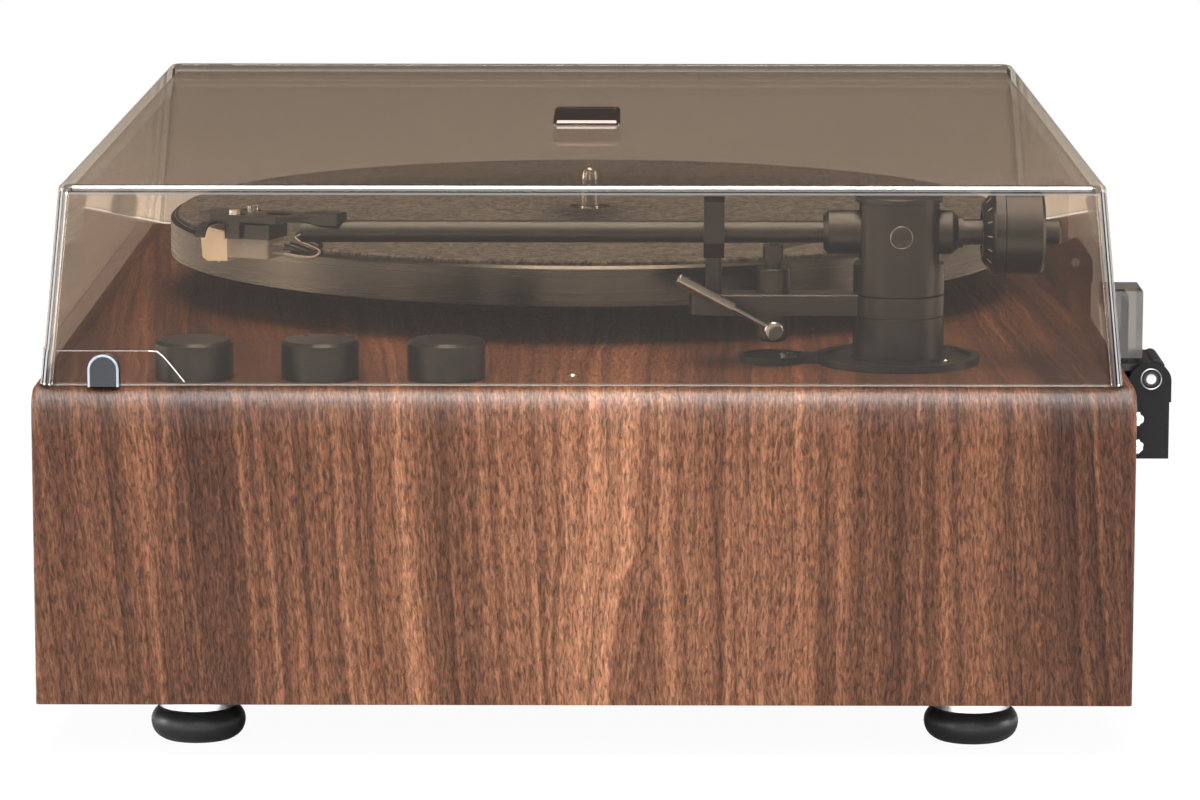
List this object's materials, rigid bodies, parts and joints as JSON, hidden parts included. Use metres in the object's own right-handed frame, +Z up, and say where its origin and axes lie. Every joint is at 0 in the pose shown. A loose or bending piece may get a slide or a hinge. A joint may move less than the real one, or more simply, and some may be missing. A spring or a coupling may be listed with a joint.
{
  "type": "record player",
  "caption": "Belt-driven record player: a rounded wooden case on feet with a tonearm, platter, control knobs and a hinged smoked lid.",
  "frame": {"origin": "on the table under the middle of the whole outline, hinges included", "axes": "+X to the user's right, +Y from the front to the hinged back, +Z up"},
  "size_m": [0.42, 0.3662, 0.1855],
  "materials": {
    "walnut": "satin",
    "dark_board": "matte",
    "black_plastic": "matte",
    "gloss_black_plastic": "gloss",
    "black_metal": "satin",
    "grille_cloth": "woven",
    "rubber": "matte",
    "bumper_rubber": "matte",
    "steel": "brushed",
    "bright_steel": "polished",
    "aluminium": "satin",
    "brass": "satin",
    "paper_cone": "matte",
    "circuit_board": "satin",
    "off_white_plastic": "matte",
    "smoked_acrylic": "gloss",
    "silver_plastic": "satin"
  },
  "bodies": {
    "base": {"case_shell": "walnut", "bottom_board": "dark_board", "front_baffle": "dark_board", "back_panel": "dark_board", "grille_frame": "black_plastic", "grille_cloth": "grille_cloth", "speaker_baskets": "steel", "speaker_cones": "paper_cone", "audio_sockets": "brass", "power_inlet": "black_plastic", "amplifier_board": "circuit_board", "control_board": "circuit_board", "foot_pads": "rubber", "foot_rings": "silver_plastic", "foot_screws": "steel", "platter_bearing": "brass", "motor_plate": "steel", "motor": "steel", "drive_belt": "rubber", "potentiometers": "steel", "power_light": "bright_steel", "arm_base_plate": "black_metal", "arm_base_screws": "bright_steel", "arm_pillar": "black_metal", "arm_nut": "steel", "rest_bar": "black_metal", "arm_rest": "black_plastic", "cue_cylinder": "black_metal", "hinge_brackets": "black_metal", "hinge_pins": "steel", "hinge_screws": "bright_steel"},
    "platter_assembly": {"platter": "aluminium", "platter_mat": "rubber", "spindle": "bright_steel"},
    "pulley": {"motor_pulley": "brass"},
    "volume": {"volume_knob": "black_plastic", "volume_shaft": "steel"},
    "bass": {"bass_knob": "black_plastic", "bass_shaft": "steel"},
    "treble": {"treble_knob": "black_plastic", "treble_shaft": "steel"},
    "lever": {"cue_lever": "bright_steel"},
    "lift": {"cue_platform": "black_metal"},
    "yoke": {"arm_yoke": "black_metal", "yoke_cap": "black_metal", "pivot_screws": "black_metal"},
    "tonearm": {"arm_hub": "black_metal", "arm_tube": "black_metal", "headshell": "black_metal", "headshell_screws": "bright_steel", "finger_lift": "black_metal", "cartridge_body": "gloss_black_plastic", "cartridge_can": "silver_plastic", "stylus_unit": "off_white_plastic"},
    "weight": {"counterweight": "black_metal"},
    "dial": {"tracking_dial": "black_plastic"},
    "lid_assembly": {"lid": "smoked_acrylic", "lid_badge": "black_metal", "lid_bumpers": "bumper_rubber", "hinge_arms": "black_metal"}
  },
  "joints": [
    {"name": "lid_hinge", "type": "hinge", "parent": "base", "child": "lid_assembly", "pos_m": [0, 0.1765, 0.1155], "axis": [-1, 0, 0], "range_deg": [0, 75]},
    {"name": "platter_spin", "type": "hinge", "parent": "base", "child": "platter_assembly", "pos_m": [-0.03, -0.008, 0.12], "axis": [0, 0, 1], "continuous": true},
    {"name": "pulley_spin", "type": "hinge", "parent": "base", "child": "pulley", "pos_m": [-0.1158, 0.06399, 0.12], "axis": [0, 0, 1], "continuous": true},
    {"name": "volume_turn", "type": "hinge", "parent": "base", "child": "volume", "pos_m": [0.1865, -0.133, 0.12], "axis": [0, 0, 1], "range_deg": [-300, 0]},
    {"name": "bass_turn", "type": "hinge", "parent": "base", "child": "bass", "pos_m": [0.1865, -0.0926, 0.12], "axis": [0, 0, 1], "range_deg": [-300, 0]},
    {"name": "treble_turn", "type": "hinge", "parent": "base", "child": "treble", "pos_m": [0.1865, -0.0522, 0.12], "axis": [0, 0, 1], "range_deg": [-300, 0]},
    {"name": "cue_lever_turn", "type": "hinge", "parent": "base", "child": "lever", "pos_m": [0.151, 0.0533, 0.1322], "axis": [1, 0, 0], "range_deg": [0, 38]},
    {"name": "cue_lift_slide", "type": "slide", "parent": "base", "child": "lift", "axis": [0, 0, 1], "range_m": [-0.00201, 0]},
    {"name": "arm_swing", "type": "hinge", "parent": "base", "child": "yoke", "pos_m": [0.151, 0.0943, 0.1628], "axis": [0, 0, 1], "range_deg": [-48, 0]},
    {"name": "arm_lift", "type": "hinge", "parent": "yoke", "child": "tonearm", "pos_m": [0.151, 0.0943, 0.1628], "axis": [-1, 0, 0], "range_deg": [-0.35, 2.8]},
    {"name": "counterweight_turn", "type": "hinge", "parent": "tonearm", "child": "weight", "pos_m": [0.151, 0.1343, 0.1628], "axis": [0, 1, 0], "range_deg": [-360, 360]},
    {"name": "dial_turn", "type": "hinge", "parent": "weight", "child": "dial", "pos_m": [0.151, 0.1243, 0.1628], "axis": [0, 1, 0], "range_deg": [-180, 180]}
  ],
  "couplings": [
    {"joint": "pulley_spin", "follows": "platter_spin", "ratio": 11.667},
    {"joint": "cue_lift_slide", "follows": "cue_lever_turn", "m_per_rad": -0.003016}
  ]
}
